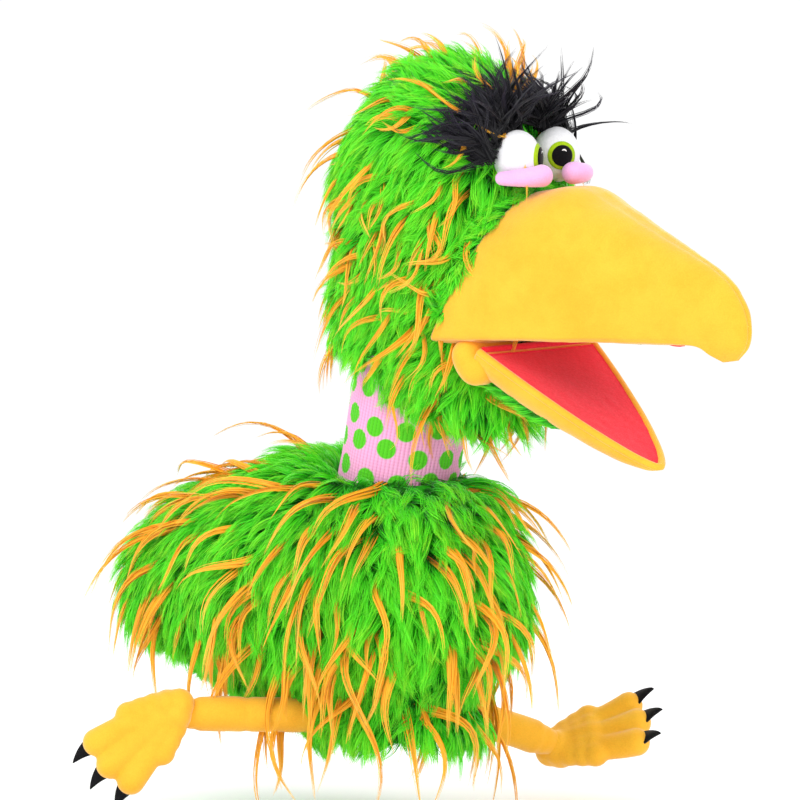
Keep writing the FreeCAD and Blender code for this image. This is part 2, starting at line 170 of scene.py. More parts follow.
def capped_tube(name, rings):
    """A closed skin over a stack of rings, each end closed by a fan of thin quads."""
    rows, cols = rings.shape[:2]
    points = rings.reshape(-1, 3)
    faces = grid_faces(rows, cols, True)
    ends = []
    for start, flip in ((0, 1), ((rows - 1) * cols, -1)):
        centre = len(points)
        points = np.vstack([points, points[start:start + cols].mean(0)])
        loop = start + np.arange(cols)
        pair = np.stack([loop, np.full(cols, centre), np.full(cols, centre), np.roll(loop, -1)], -1)
        ends.append(pair[:, ::flip])
    me = bpy.data.meshes.new(name)
    polys = [tuple(f) for f in faces] + [tuple(dict.fromkeys(f)) for e in ends for f in e.tolist()]
    me.from_pydata([tuple(p * MM) for p in points], [], polys)
    me.polygons.foreach_set("use_smooth", np.full(len(me.polygons), True))
    me.update()
    ob = bpy.data.objects.new(name, me)
    bpy.context.scene.collection.objects.link(ob)
    return ob


def soft_union(name, balls, voxel=1.6, smooth=6):
    """One plump skin round many balls, given as centre and three half sizes, in mm."""
    bm = bmesh.new()
    for centre, half in balls:
        place = Matrix.Translation(Vector(centre) * MM) @ Matrix.Diagonal((*(Vector(half) * MM), 1))
        bmesh.ops.create_icosphere(bm, subdivisions=3, radius=1, matrix=place)
    me = bpy.data.meshes.new(name + "_source")
    bm.to_mesh(me)
    bm.free()
    ob = bpy.data.objects.new(name, me)
    bpy.context.scene.collection.objects.link(ob)
    remesh = ob.modifiers.new("skin", "REMESH")
    remesh.mode, remesh.voxel_size = "VOXEL", voxel * MM
    relax = ob.modifiers.new("relax", "SMOOTH")
    relax.factor, relax.iterations = 0.5, smooth
    done = bpy.data.meshes.new_from_object(ob.evaluated_get(bpy.context.evaluated_depsgraph_get()))
    ob.modifiers.clear()
    ob.data = done
    done.name = name
    bpy.data.meshes.remove(me)
    done.polygons.foreach_set("use_smooth", np.full(len(done.polygons), True))
    return ob


# ---- materials ---------------------------------------------------------------------
def new_material(name, colour, rough=0.8, sheen=0.0, specular=0.3):
    mat = bpy.data.materials.new(name)
    mat.use_nodes = True
    bsdf = mat.node_tree.nodes["Principled BSDF"]
    bsdf.inputs["Base Color"].default_value = (*colour, 1)
    bsdf.inputs["Roughness"].default_value = rough
    bsdf.inputs["Specular IOR Level"].default_value = specular
    bsdf.inputs["Sheen Weight"].default_value = sheen
    bsdf.inputs["Sheen Roughness"].default_value = 0.4
    return mat, mat.node_tree, bsdf


def add(tree, kind, **values):
    node = tree.nodes.new(kind)
    for key, value in values.items():
        setattr(node, key, value)
    return node


def place_of(tree):
    return add(tree, "ShaderNodeTexCoord").outputs["Object"]


def noise_of(tree, where, scale, detail=3.0, rough=0.6):
    node = add(tree, "ShaderNodeTexNoise")
    node.inputs["Scale"].default_value = scale
    node.inputs["Detail"].default_value = detail
    node.inputs["Roughness"].default_value = rough
    tree.links.new(where, node.inputs["Vector"])
    return node.outputs["Fac"]


def ramp_of(tree, value, stops):
    node = add(tree, "ShaderNodeValToRGB")
    cr = node.color_ramp
    while len(cr.elements) < len(stops):
        cr.elements.new(0.5)
    for element, (at, colour) in zip(cr.elements, stops):
        element.position = at
        element.color = (*colour, 1)
    tree.links.new(value, node.inputs["Fac"])
    return node.outputs["Color"]


def mix_of(tree, factor, a, b):
    node = add(tree, "ShaderNodeMix", data_type="RGBA")
    for socket, value in ((node.inputs[0], factor), (node.inputs[6], a), (node.inputs[7], b)):
        if isinstance(value, bpy.types.NodeSocket):
            tree.links.new(value, socket)
        else:
            socket.default_value = value if socket == node.inputs[0] else (*value, 1)
    return node.outputs[2]


def bump_of(tree, bsdf, heights):
    """Bumps laid one over another: each is a height, its strength and its depth in metres."""
    last = None
    for height, strength, depth in heights:
        node = add(tree, "ShaderNodeBump")
        node.inputs["Strength"].default_value = strength
        node.inputs["Distance"].default_value = depth
        tree.links.new(height, node.inputs["Height"])
        if last is not None:
            tree.links.new(last, node.inputs["Normal"])
        last = node.outputs["Normal"]
    tree.links.new(last, bsdf.inputs["Normal"])


def fur_material(name, root, middle, tip, other, rough=0.5):
    """Pile whose colour runs from root to tip, with locks of a second tint. The dark root colour is painted shade
    between the hairs.
    """
    mat, tree, bsdf = new_material(name, middle, rough=rough, sheen=0.25, specular=0.25)
    length = add(tree, "ShaderNodeAttribute", attribute_name="along").outputs["Fac"]
    tint = add(tree, "ShaderNodeAttribute", attribute_name="tint").outputs["Fac"]
    # Both ramps start at the root colour: painted shade where the hairs meet the skin, lightening towards the tip.
    main = ramp_of(tree, length, [(0.0, root), (0.38, middle), (1.0, tip)])
    second = ramp_of(tree, length, [(0.0, root), (0.45, middle), (1.0, other)])
    tree.links.new(mix_of(tree, tint, main, second), bsdf.inputs["Base Color"])
    return mat


def plush_material(name, colour, deep, nap=0.5, rough=0.85, sheen=0.5):
    """Short brushed pile: fine fuzz, and patches where the nap lies the other way."""
    mat, tree, bsdf = new_material(name, colour, rough=rough, sheen=sheen, specular=0.15)
    where = place_of(tree)
    patches = noise_of(tree, where, 26.0, 4.0, 0.65)
    fuzz = noise_of(tree, where, 900.0, 2.0)
    tone = ramp_of(tree, patches, [(0.35, deep), (0.62, colour)])
    fine = ramp_of(tree, fuzz, [(0.3, tuple(c * 0.8 for c in colour)), (0.7, colour)])
    tree.links.new(mix_of(tree, nap, fine, tone), bsdf.inputs["Base Color"])
    bump_of(tree, bsdf, [(noise_of(tree, where, 55.0, 3.0), 0.25, 0.002), (fuzz, 0.5, 0.0007)])
    return mat


def felt_material(name, colour, dark, rough=0.95):
    """Pressed fibres: fine mottling and a matted surface."""
    mat, tree, bsdf = new_material(name, colour, rough=rough, sheen=0.3, specular=0.1)
    where = place_of(tree)
    mottle = noise_of(tree, where, 420.0, 5.0, 0.7)
    tree.links.new(ramp_of(tree, mottle, [(0.3, dark), (0.65, colour)]), bsdf.inputs["Base Color"])
    bump_of(tree, bsdf, [(noise_of(tree, where, 1300.0, 2.0), 0.45, 0.0005)])
    return mat


def knit_material(name, colour, gap, dot):
    """Ribbed knit: painted shade between the stitches and a painted highlight on their tops, with round dots
    printed on it.
    """
    mat, tree, bsdf = new_material(name, colour, rough=0.85, sheen=0.3, specular=0.15)
    height = add(tree, "ShaderNodeAttribute", attribute_name="stitch").outputs["Fac"]
    dots = add(tree, "ShaderNodeAttribute", attribute_name="dot").outputs["Fac"]
    # Low stitch height takes gap, a painted shade; the top is lightened 1.15 times, a painted highlight.
    yarn_shaded_lit = ramp_of(tree, height, [(0.0, gap), (0.55, colour), (1.0, tuple(min(1, c * 1.15) for c in colour))])
    # The printed dots are darkened the same way at low stitch height: painted shade.
    green = ramp_of(tree, height, [(0.0, tuple(c * 0.55 for c in dot)), (0.6, dot)])
    tree.links.new(mix_of(tree, dots, yarn_shaded_lit, green), bsdf.inputs["Base Color"])
    bump_of(tree, bsdf, [(noise_of(tree, place_of(tree), 1500.0, 2.0), 0.3, 0.0004)])
    return mat


def cloth_material(name, colour, dark):
    """Plain woven lining."""
    mat, tree, bsdf = new_material(name, colour, rough=0.9, sheen=0.2, specular=0.15)
    where = place_of(tree)
    weave = add(tree, "ShaderNodeTexWave", bands_direction="Z")
    weave.inputs["Scale"].default_value = 420.0
    weave.inputs["Distortion"].default_value = 1.2
    tree.links.new(where, weave.inputs["Vector"])
    tree.links.new(ramp_of(tree, weave.outputs["Fac"], [(0.1, dark), (0.7, colour)]), bsdf.inputs["Base Color"])
    bump_of(tree, bsdf, [(weave.outputs["Fac"], 0.3, 0.0004)])
    return mat


# The first colour of each pile, at its roots, is painted shade between the hairs.
GREEN = fur_material("green_pile", (0.005, 0.15, 0.002), (0.040, 0.66, 0.006), (0.15, 0.94, 0.020),
                     (0.45, 0.95, 0.03))
ORANGE = fur_material("orange_pile", (0.90, 0.33, 0.008), (1.0, 0.46, 0.018), (1.0, 0.53, 0.045),
                      (1.0, 0.62, 0.10))
BLACK = fur_material("black_pile", (0.003, 0.003, 0.004), (0.006, 0.005, 0.009), (0.012, 0.011, 0.022),
                     (0.03, 0.02, 0.05), rough=0.42)
YELLOW = plush_material("yellow_velour", (1.0, 0.52, 0.040), (0.93, 0.41, 0.022))
WHITE = plush_material("white_velour", (0.88, 0.88, 0.90), (0.80, 0.80, 0.83))
PINK = plush_material("pink_velour", (0.93, 0.50, 0.85), (0.86, 0.40, 0.75))
RED = felt_material("red_felt", (0.93, 0.035, 0.065), (0.80, 0.018, 0.035))
LIME = felt_material("lime_felt", (0.40, 0.60, 0.014), (0.28, 0.46, 0.008))
BLACK_FELT = felt_material("black_felt", (0.010, 0.010, 0.012), (0.003, 0.003, 0.004))
PUPIL = felt_material("pupil_felt", (0.006, 0.006, 0.007), (0.003, 0.003, 0.004))
# White felt spots on the pupils: a painted highlight.
PAINTED_GLINT = felt_material("painted_glint_felt", (0.92, 0.92, 0.92), (0.84, 0.84, 0.84))
# The knit's second colour is painted shade between the stitches.
KNIT = knit_material("pink_knit", (0.93, 0.40, 0.66), (0.55, 0.17, 0.36), (0.10, 0.60, 0.02))
LINING = cloth_material("lining_cloth", (0.07, 0.42, 0.05), (0.03, 0.25, 0.02))


def wear(ob, mat):
    ob.data.materials.clear()
    ob.data.materials.append(mat)
    return ob


# ---- fur -------------------------------------------------------------------------------
def egg_skin(table, inset, square, cols=96, rows=80):
    """A smooth skin through egg-shaped sections: points and outward directions.

    inset gives, from the height, how far the skin lies inside the table; square is 2 for a round front, more for
    a fuller one.
    """
    t = smooth_table(table, rows)
    a = np.linspace(0, TURN, cols, endpoint=False)
    c, s = np.cos(a), np.sin(a)
    front = c > 0
    power = np.where(front, 2 / square, 1.0)
    cc = np.sign(c) * np.abs(c) ** power
    ss = np.sign(s) * np.abs(s) ** power
    inset = inset(t[:, 0])[:, None]
    reach = np.where(front[None, :], t[:, 3:4], t[:, 2:3]) - inset
    grid = np.stack([t[:, 1:2] + cc * reach, ss * (t[:, 4:5] - inset), np.repeat(t[:, 0:1], cols, 1)], -1)
    du = np.roll(grid, -1, 1) - np.roll(grid, 1, 1)
    dv = np.gradient(grid, axis=0)
    return grid, unit(np.cross(du, dv))


def scatter(grid, normals, count, rng):
    """Random places spread evenly over a skin's area."""
    rows, cols = grid.shape[:2]
    right, up = np.roll(grid, -1, 1) - grid, np.diff(grid, axis=0)
    area = np.linalg.norm(np.cross(right[:-1], up), axis=-1).ravel()
    pick = rng.choice(area.size, count, p=area / area.sum())
    r, c = np.divmod(pick, cols)
    n = (c + 1) % cols
    u, v = rng.random((2, count, 1))

    def blend(field):
        low = field[r, c] * (1 - u) + field[r, n] * u
        return low * (1 - v) + (field[r + 1, c] * (1 - u) + field[r + 1, n] * u) * v
    return blend(grid), unit(blend(normals))


def locks(roots, normals, flow, rng, length, lift, droop=0.3, wave=0.15, spread=3.0, gather=0.8, hairs=10,
          width=0.9, steps=5, shorter=0.3):
    """Pointed locks of pile. Each rises from its root and lies over into the flow; its hairs gather to a tip.

    length, lift, droop and spread are one value or one for each lock. Returns the points, the quads, the place
    along the hair and each lock's random tint.
    """
    count = len(roots)
    lift = np.broadcast_to(lift, (count,))
    length = np.broadcast_to(length, (count,)) * rng.uniform(0.8, 1.15, count)
    flow = unit(flow - normals * (flow * normals).sum(1, keepdims=True) * 0.9)
    side = unit(np.cross(flow, normals))
    phase = rng.uniform(0, TURN, count)
    sway = rng.normal(0, wave, count)
    line = [roots]
    for k in range(steps):
        t = (k + 0.5) / steps
        way = normals * (lift * (1 - t) ** 1.1)[:, None] + flow * (0.55 + 0.45 * t)
        way = way + side * (sway * np.sin(phase + 4.5 * t) * 2 + sway)[:, None]
        way[:, 2] -= np.broadcast_to(droop, (count,)) * t * t * 2
        line.append(line[-1] + unit(way) * (length / steps)[:, None])
    line = np.stack(line, 1)

    total = count * hairs
    owner = np.repeat(np.arange(count), hairs)
    share = rng.uniform(1 - shorter, 1.0, total)
    a, r = rng.uniform(0, TURN, total), np.sqrt(rng.random(total))
    spread = np.broadcast_to(spread, (count,))[owner]
    off = (flow[owner] * (np.cos(a) * r * spread)[:, None] + side[owner] * (np.sin(a) * r * spread)[:, None])
    t = np.linspace(0, 1, steps + 1)
    at = share[:, None] * t[None, :] * steps
    low = np.minimum(at.astype(int), steps - 1)
    f = (at - low)[..., None]
    spine = line[owner[:, None], low] * (1 - f) + line[owner[:, None], low + 1] * f
    stray = rng.normal(0, 1, (total, 3)) * 0.7
    spine = spine + off[:, None, :] * (1 - gather * t[None, :, None] ** 0.8)
    spine = spine + stray[:, None, :] * np.sin(t * math.pi * 0.8)[None, :, None]
    way = unit(np.gradient(spine, axis=1))
    roll = rng.uniform(-1.2, 1.2, total)
    across = unit(np.cross(way, normals[owner][:, None, :]))
    across = unit(across * np.cos(roll)[:, None, None] + np.cross(way, across) * np.sin(roll)[:, None, None])
    half = width / 2 * rng.uniform(0.7, 1.3, total)[:, None] * (1 - 0.9 * t[None, :] ** 1.6)
    edge = across * half[..., None]
    points = np.stack([spine - edge, spine + edge], 2).reshape(-1, 3)
    base = (np.arange(total) * (steps + 1) * 2)[:, None] + np.arange(steps)[None, :] * 2
    quads = np.stack([base, base + 1, base + 3, base + 2], -1).reshape(-1, 4)
    reach = np.broadcast_to(t[None, :, None], (total, steps + 1, 2)).ravel()
    tint = np.repeat((rng.random(count) ** 3)[owner], (steps + 1) * 2)
    return points, quads, reach, tint


def pile(name, parts, mat, body, nodes):
    """One piece from several sets of hairs and skins, riding on a body in place of its CAD nodes."""
    points, faces, reach, tint, start = [], [], [], [], 0
    for p, f, a, b in parts:
        points.append(p)
        faces.append(f + start)
        reach.append(a)
        tint.append(b)
        start += len(p)
    ob = mesh_object(name, np.vstack(points), np.vstack(faces),
                     (("along", np.concatenate(reach)), ("tint", np.concatenate(tint))))
    wear(ob, mat)
    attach(ob, body)
    if nodes:
        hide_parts(*nodes)
    return ob


def backing(grid, keep, shade=0.15):
    """The woven backing under the pile, coloured from the pile's ramp near its root and so in painted shade: the
    skin's own quads whose middle passes the test.
    """
    rows, cols = grid.shape[:2]
    flat = grid.reshape(-1, 3)
    faces = grid_faces(rows, cols, True)
    faces = faces[keep(flat[faces].mean(1))]
    used, faces = np.unique(faces, return_inverse=True)
    # The place along the ramp is set to shade, which gives the backing the painted root shade.
    return flat[used], faces.reshape(-1, 4), np.full(len(used), shade), np.zeros(len(used))


CLUMP_LOCKS = 13          # locks that lean together, about
CLUMP_SIZE = 14.0         # mm


def drift(points, scale, amount, seed):
    """A smooth wander of the pile, so that neighbours lean together and part."""
    return amount * np.stack([lumps(points, scale, seed + 11.0 * k) for k in range(3)], 1)


def clump_lean(points, size, rng):
    """From each root towards the middle of its clump, in parts of the clump's size."""
    middles = points[rng.choice(len(points), max(1, len(points) // CLUMP_LOCKS), replace=False)]
    tree = KDTree(len(middles))
    for i, p in enumerate(middles):
        tree.insert(p, i)
    tree.balance()
    near = np.array([tree.find(p)[1] for p in points])
    return (middles[near] - points) / size


def ruffled(points, flow, seed, rng, wander=0.5, lean=0.55):
    """The pile's flow, ruffled into waves and clumps."""
    loose = drift(points, 42.0, wander, seed) + drift(points, 15.0, wander * 0.5, seed + 5)
    return unit(flow + loose + lean * clump_lean(points, CLUMP_SIZE, rng))


# ---- body pile --------------------------------------------------------------------------
rng = np.random.default_rng(7)
LOCKS_BODY, TUFTS_BODY = 9000, 640
PANEL_FLOOR = 24          # height where the base panel ends, mm
# Under the pile the skin lies lower than the pile's outline, and turns in to meet the neck.
SHOULDER = np.array([
    (136, -66, 188, 185, 114), (161, -56, 172, 168, 106), (182, -42, 140, 142, 96), (196, -24, 110, 112, 84),
    (204, -6, 90, 87, 76), (205, 4, 80, 76, 74), (201, 8, 71, 71, 71)], float)
body_skin, body_out = egg_skin(np.vstack([BODY[:6], SHOULDER]), lambda z: 2 + 16 * ramp(z, 0, 55), 2.0)


def body_flow(p):
    """Down and outward from the foot of the neck."""
    away = unit((p - NECK_FOOT) * (1, 1, 0))
    top = ramp(p[:, 2], 110, 215)[:, None]
    return unit(away * (0.30 + 0.85 * top) + np.array((0, 0, -1.0)) * (1.15 - 0.85 * top))


def clear_of_neck(p):
    """Outside the hole where the neck comes up through the pile."""
    return np.hypot(p[:, 0] - 10, p[:, 1]) > 51


def body_panel(low, high, side=0):
    """A test for the panel between two values of x, above the base; side is 1 for left, -1 for right."""
    def test(p):
        here = (p[:, 2] >= PANEL_FLOOR) & (p[:, 0] > low) & (p[:, 0] <= high)
        return here & ((p[:, 1] >= 0) == (side > 0)) if side else here
    return test


RUMP, CHEST = -178.0, 62.0    # x where the rump panel ends and the chest panel starts, mm
BODY_PANELS = {
    "base": lambda p: p[:, 2] < PANEL_FLOOR,
    "chest": body_panel(CHEST, np.inf),
    "rump": body_panel(-np.inf, RUMP),
    "left": body_panel(RUMP, CHEST, 1),
    "right": body_panel(RUMP, CHEST, -1),
}
roots, outs = scatter(body_skin, body_out, LOCKS_BODY, rng)
keep = clear_of_neck(roots)
roots, outs = roots[keep], outs[keep]
flows = ruffled(roots, body_flow(roots), 2.0, rng)
from_neck = (roots - NECK_FOOT) * (1, 1, 0)
far, to_side = np.linalg.norm(from_neck, axis=1), unit(from_neck) ** 2
# The pile lies flatter at the neck's sides and stands up as a ruff before and behind it.
beside = ramp(-far, -95, -52) * ramp(roots[:, 2], 180, 200) * to_side[:, 1]
ruff = ramp(-far, -105, -75) * ramp(roots[:, 2], 165, 195) * to_side[:, 0]
lifts = (0.9 + 0.5 * lumps(roots, 30.0, 9.0)) * (1 - 0.65 * beside + 0.9 * ruff)
under = ramp(-outs[:, 2], 0.05, 0.6)
lengths = (45 - 21 * under) * (1 + 0.3 * lumps(roots, 24.0, 4.0)) * (1 - 0.35 * beside)
tuft_roots, tuft_outs = scatter(body_skin, body_out, TUFTS_BODY, rng)
keep = clear_of_neck(tuft_roots) & (tuft_outs[:, 2] > -0.45) & (tuft_roots[:, 2] > 26)
keep &= rng.random(len(tuft_roots)) < 1.05 - tuft_roots[:, 2] / 330
tuft_roots, tuft_outs = tuft_roots[keep], tuft_outs[keep]
for panel, test in BODY_PANELS.items():
    inside = test(roots)
    hairs = locks(roots[inside], outs[inside], flows[inside], rng, lengths[inside], lift=lifts[inside], droop=0.22,
                  wave=0.2, spread=5.6, gather=0.66, hairs=15, width=0.85)
    nodes = ["body_fur_" + panel] + (["body_stuffing"] if panel == "base" else [])
    pile("body_pile_" + panel, [backing(body_skin, test), hairs], GREEN, "body", nodes)
    inside = test(tuft_roots)
    p, n = tuft_roots[inside], tuft_outs[inside]
    if len(p):
        flow = unit(body_flow(p) + drift(p, 50.0, 0.6, 6.0))
        rear, low = ramp(-p[:, 0], 150, 215), ramp(-p[:, 2], -120, -60)
        reach = rng.uniform(62, 112, len(p)) * (1 - 0.32 * rear) * (1 + 0.03 * low)
        tufts = locks(p, n, flow, rng, reach, lift=0.8 - 0.35 * rear, droop=0.36, wave=0.22,
                      spread=5.4, gather=0.84, hairs=20, width=1.25, steps=9, shorter=0.35)
        pile("body_tufts_" + panel, [tufts], ORANGE, "body", [])

# ---- head pile -----------------------------------------------------------------------------
LOCKS_HEAD, TUFTS_HEAD = 6200, 330
HEAD_MID = 402.0          # height of the head's middle, mm
HEAD_TALL = 309.0         # mm
HEAD_NAP = 17.0           # how far the skin lies under the pile's outline, mm
head_table = HEAD.copy()
head_table[:, 0] = HEAD_MID + (HEAD[:, 0] - HEAD_MID) * (1 - 2 * HEAD_NAP / HEAD_TALL)
head_table[:, 2] -= 13 * ramp(HEAD[:, 0], 450, 525)
head_skin, head_out = egg_skin(head_table, lambda z: HEAD_NAP - 8 * ramp(z, 520, 545), 2.5)


def head_flow(p):
    """Back and down from the face, up and back on the crown."""
    def way(x, y, z):
        return np.stack([np.full(len(p), x), np.sign(p[:, 1]) * y, np.full(len(p), z)], 1)
    crown = ramp(p[:, 2], 470, 535)[:, None]
    low = ramp(-p[:, 2], -330, -270)[:, None]
    side, up, chin = way(-0.55, 0.15, -0.85), way(-0.85, 0.35, 0.25), way(-0.1, 0.1, -1.0)
    return unit((side * (1 - crown) + up * crown) * (1 - low) + chin * low)


def clear_of_face(p):
    """Not under the beak, the eyes, the mouth or the neck."""
    edge = 120 + 0.42 * (p[:, 2] - 320) + 26 * ramp(p[:, 2], 435, 456) * ramp(-abs(p[:, 1]), -40, -10)
    beak = (p[:, 0] > edge) & (p[:, 2] > 318) & (p[:, 2] < 453)
    eye = np.linalg.norm((np.abs(p * (0, 1, 0)) + p * (1, 0, 1) - EYE) / (EYE_SIZE + 3), axis=1) < 1
    mouth = (np.hypot(p[:, 0] - MOUTH[0], p[:, 2] - MOUTH[2]) < 34) & (p[:, 2] < 330)
    front = (p[:, 0] > 152) & (p[:, 2] < 330)
    axis = unit(NECK_HEAD - NECK_FOOT)
    rel = p - NECK_HEAD
    depth = -(rel @ axis)
    neck = (np.linalg.norm(rel + depth[:, None] * axis, axis=1) < 50 + 0.3 * np.maximum(depth, 0)) & (p[:, 2] < 330)
    return ~(beak | eye | mouth | front | neck)


def at_throat(p):
    return (p[:, 2] < 296) & (p[:, 0] > 70)


def head_side(sign):
    """A test for one side panel of the head."""
    def test(p):
        mine = (p[:, 1] >= 0) == (sign > 0)
        top = (p[:, 2] >= 430) & (p[:, 1] * sign < 22)
        return (p[:, 0] > -8) & ~at_throat(p) & mine & ~top
    return test


HEAD_PANELS = {
    "throat": at_throat,
    "crown": lambda p: (p[:, 2] >= 430) & (p[:, 0] > -8) & (abs(p[:, 1]) < 22),
    "nape": lambda p: (p[:, 0] <= -8),
    "left": head_side(1),
    "right": head_side(-1),
}
HEAD_NODES = {"throat": "throat_fur"}
roots, outs = scatter(head_skin, head_out, LOCKS_HEAD, rng)
keep = clear_of_face(roots)
roots, outs = roots[keep], outs[keep]
near_face = ramp(roots[:, 0] - 0.42 * (roots[:, 2] - 320), 85, 125) * (roots[:, 2] > 330)
flows = ruffled(roots, head_flow(roots), 31.0, rng)
lifts = 0.95 - 0.35 * near_face + 0.45 * lumps(roots, 28.0, 12.0)
lengths = (36 - 11 * near_face) * (1 + 0.3 * lumps(roots, 22.0, 15.0))
tuft_roots, tuft_outs = scatter(head_skin, head_out, TUFTS_HEAD, rng)
keep = clear_of_face(tuft_roots)
tuft_roots, tuft_outs = tuft_roots[keep], tuft_outs[keep]
for panel, test in HEAD_PANELS.items():
    inside = test(roots)
    hairs = locks(roots[inside], outs[inside], flows[inside], rng, lengths[inside], lift=lifts[inside], droop=0.12,
                  wave=0.2, spread=5.2, gather=0.68, hairs=15, width=0.85)
    skin = backing(head_skin, lambda m, t=test: t(m) & clear_of_face(m))
    nodes = [HEAD_NODES.get(panel, "head_fur_" + panel)]
    pile("head_pile_" + panel, [skin, hairs], GREEN, "head", nodes)
    inside = test(tuft_roots)
    p, n = tuft_roots[inside], tuft_outs[inside]
    if len(p):
        flow = unit(head_flow(p) + drift(p, 45.0, 0.7, 21.0))
        crown = ramp(p[:, 2], 490, 515)
        tufts = locks(p, n, flow, rng, rng.uniform(44, 80, len(p)), lift=0.95 + 1.1 * crown,
                      droop=0.26 - 0.24 * crown, wave=0.42, spread=4.4, gather=0.86,
                      hairs=16, width=1.1, steps=9, shorter=0.35)
        pile("head_tufts_" + panel, [tufts], ORANGE, "head", [])

# ---- neck --------------------------------------------------------------------------------------
neck_axis = unit(NECK_HEAD - NECK_FOOT)
neck_len = float(np.linalg.norm(NECK_HEAD - NECK_FOOT))
RIBS, STITCH = 88, 2.6    # ribs round the tube; height of a stitch, mm
DOT_R, DOT_STEP = 8.2, 21.6
DOTS_ROUND = 11


def build_neck():
    """The ribbed tube, its ends rounded where the head and body bend on it."""
    cols, reach = RIBS * 6, 18.0
    h = np.arange(-reach, neck_len + reach, 0.65)
    a = np.linspace(0, TURN, cols, endpoint=False)
    side = np.array((0.0, 1.0, 0.0))
    front = np.cross(side, neck_axis)
    ends = np.maximum(-h, 0) + np.maximum(h - neck_len, 0)
    r = np.sqrt(NECK_R**2 - ends**2)
    rib = np.abs(np.cos(a * RIBS / 2))[None, :]
    row = np.abs(np.cos(h * math.pi / STITCH))[:, None]
    stitch = (0.35 + 0.65 * rib) * (0.6 + 0.4 * row)
    fold = 0.5 * np.sin(3 * a)[None, :] * np.sin(h * 0.08)[:, None]
    radius = r[:, None] - 1.2 + 1.1 * stitch + fold
    grid = (NECK_FOOT + h[:, None, None] * neck_axis + radius[..., None] * (
        np.cos(a)[None, :, None] * front + np.sin(a)[None, :, None] * side))
    dots = np.zeros(stitch.shape)
    arc = a * NECK_R
    for k, level in enumerate(np.arange(-12, neck_len + 20, DOT_STEP)):
        for i in range(DOTS_ROUND):
            centre = (i + 0.5 * (k % 2)) * TURN / DOTS_ROUND * NECK_R
            gap = np.abs(arc - centre)
            gap = np.minimum(gap, TURN * NECK_R - gap)
            wobble = 4 * math.sin(5 * i + 3 * k)
            near = np.hypot(gap[None, :], (h - level - wobble)[:, None])
            dots = np.maximum(dots, ramp(-near, -DOT_R - 0.5, -DOT_R + 0.5))
    ob = mesh_object("neck_rib_knit", grid.reshape(-1, 3), grid_faces(len(h), cols, True),
                     (("stitch", stitch.ravel()), ("dot", dots.ravel())))
    wear(ob, KNIT)
    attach(ob, "neck")
    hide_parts("neck_knit")


build_neck()


# ---- beak ---------------------------------------------------------------------------------------
BELLY = 0.13              # the section's widest level, as a share of its height
BULGE = 0.86              # 1 is round, less is fuller at the sides
HUB = 0.4                 # level of the section's middle
SEAM_WIDE = 1.1           # mm
ROLLED_EDGE = 6.0         # how far the roof of the mouth lies above the beak's lower edge, mm


def beak_fringe(count, rng):
    """Roots and outward ways of a short fringe just behind the root of the beak."""
    low, top, half = BEAK[0][[0, 1]], BEAK[0][[2, 3]], BEAK[0][4]
    a = rng.uniform(0.03, 0.97, count) * math.pi
    level = BELLY + (1 - BELLY) * np.sin(a)
    side = np.sign(np.cos(a)) * np.abs(np.cos(a)) ** BULGE * half
    spine = low + (top - low) * level[:, None]
    rim = np.stack([spine[:, 0], side, spine[:, 1]], 1)
    hub = low + (top - low) * HUB
    out = unit(rim - (hub[0], 0, hub[1]))
    tall = np.linalg.norm(top - low)
    ahead = np.array((top[1] - low[1], 0, low[0] - top[0])) / tall
    return rim - out * 4 - ahead * rng.uniform(0, 9, count)[:, None], out, ahead


def recess(x, y):
    """How far the roof of the mouth is set up behind the beak's rolled edge."""
    edge = np.interp(x, MOUTH[0] + JAW[:, 0], JAW[:, 1])
    along_it = ramp(x, MOUTH[0] - 12, MOUTH[0] + 4) * ramp(-x, -312, -296)
    return ROLLED_EDGE * ramp(edge - np.abs(y), 1, 7) * along_it


def roof_of_mouth(x, y):
    """Height of the beak's underside."""
    low, half = np.interp(x, BEAK[:, 0], BEAK[:, 1]), np.interp(x, BEAK[:, 0], BEAK[:, 4])
    tall = np.interp(x, BEAK[:, 0], np.hypot(BEAK[:, 2] - BEAK[:, 0], BEAK[:, 3] - BEAK[:, 1]))
    c = np.clip(np.abs(y) / half, 0, 1) ** (1 / BULGE)
    level = BELLY * (1 - np.sqrt(1 - c * c) ** 0.4)
    return low + tall * level * 0.9 + recess(x, y)


def beak_grid(rows=110, cols=120):
    """The upper beak's skin: domed above, sewn along its ridge, hollow below behind a rolled edge."""
    t = smooth_table(BEAK, rows)
    low = np.stack([t[:, 0], np.zeros(rows), t[:, 1]], 1)
    top = np.stack([t[:, 2], np.zeros(rows), t[:, 3]], 1)
    up = unit(top - low)
    tall = np.linalg.norm(top - low, axis=1)[:, None]
    a = np.linspace(0, TURN, cols, endpoint=False)
    c, s = np.cos(a), np.sin(a)
    wide = np.sign(c) * np.abs(c) ** BULGE
    level = np.where(s > 0, BELLY + (1 - BELLY) * s, BELLY * (1 - np.abs(s) ** 0.4))
    half = t[:, 4:5]
    seam = np.exp(-((wide * half) / SEAM_WIDE) ** 2) * (s > 0.2)
    edge = np.exp(-((level * tall - 5.0) / 1.6) ** 2) * (np.abs(wide) > 0.5) * ramp(-t[:, 0:1], -345, -330)
    grid = low[:, None, :] + up[:, None, :] * (tall * level)[..., None]
    grid[..., 1] += wide * half
    grid[..., 2] += np.where(s[None, :] < 0, recess(grid[..., 0], grid[..., 1]), 0)
    inward = unit(low[:, None, :] + up[:, None, :] * tall[..., None] * HUB - grid)
    grid = grid + inward * (seam * 1.3 + edge * 0.9)[..., None]
    flat = grid.reshape(-1, 3)
    push = 0.8 * lumps(flat, 26, 3.0) + 0.35 * lumps(flat, 9, 8.0)
    return (flat + inward.reshape(-1, 3) * push[:, None]).reshape(grid.shape)


LINING_INSET = 5.0        # how far the linings stop short of the beak's edge, mm


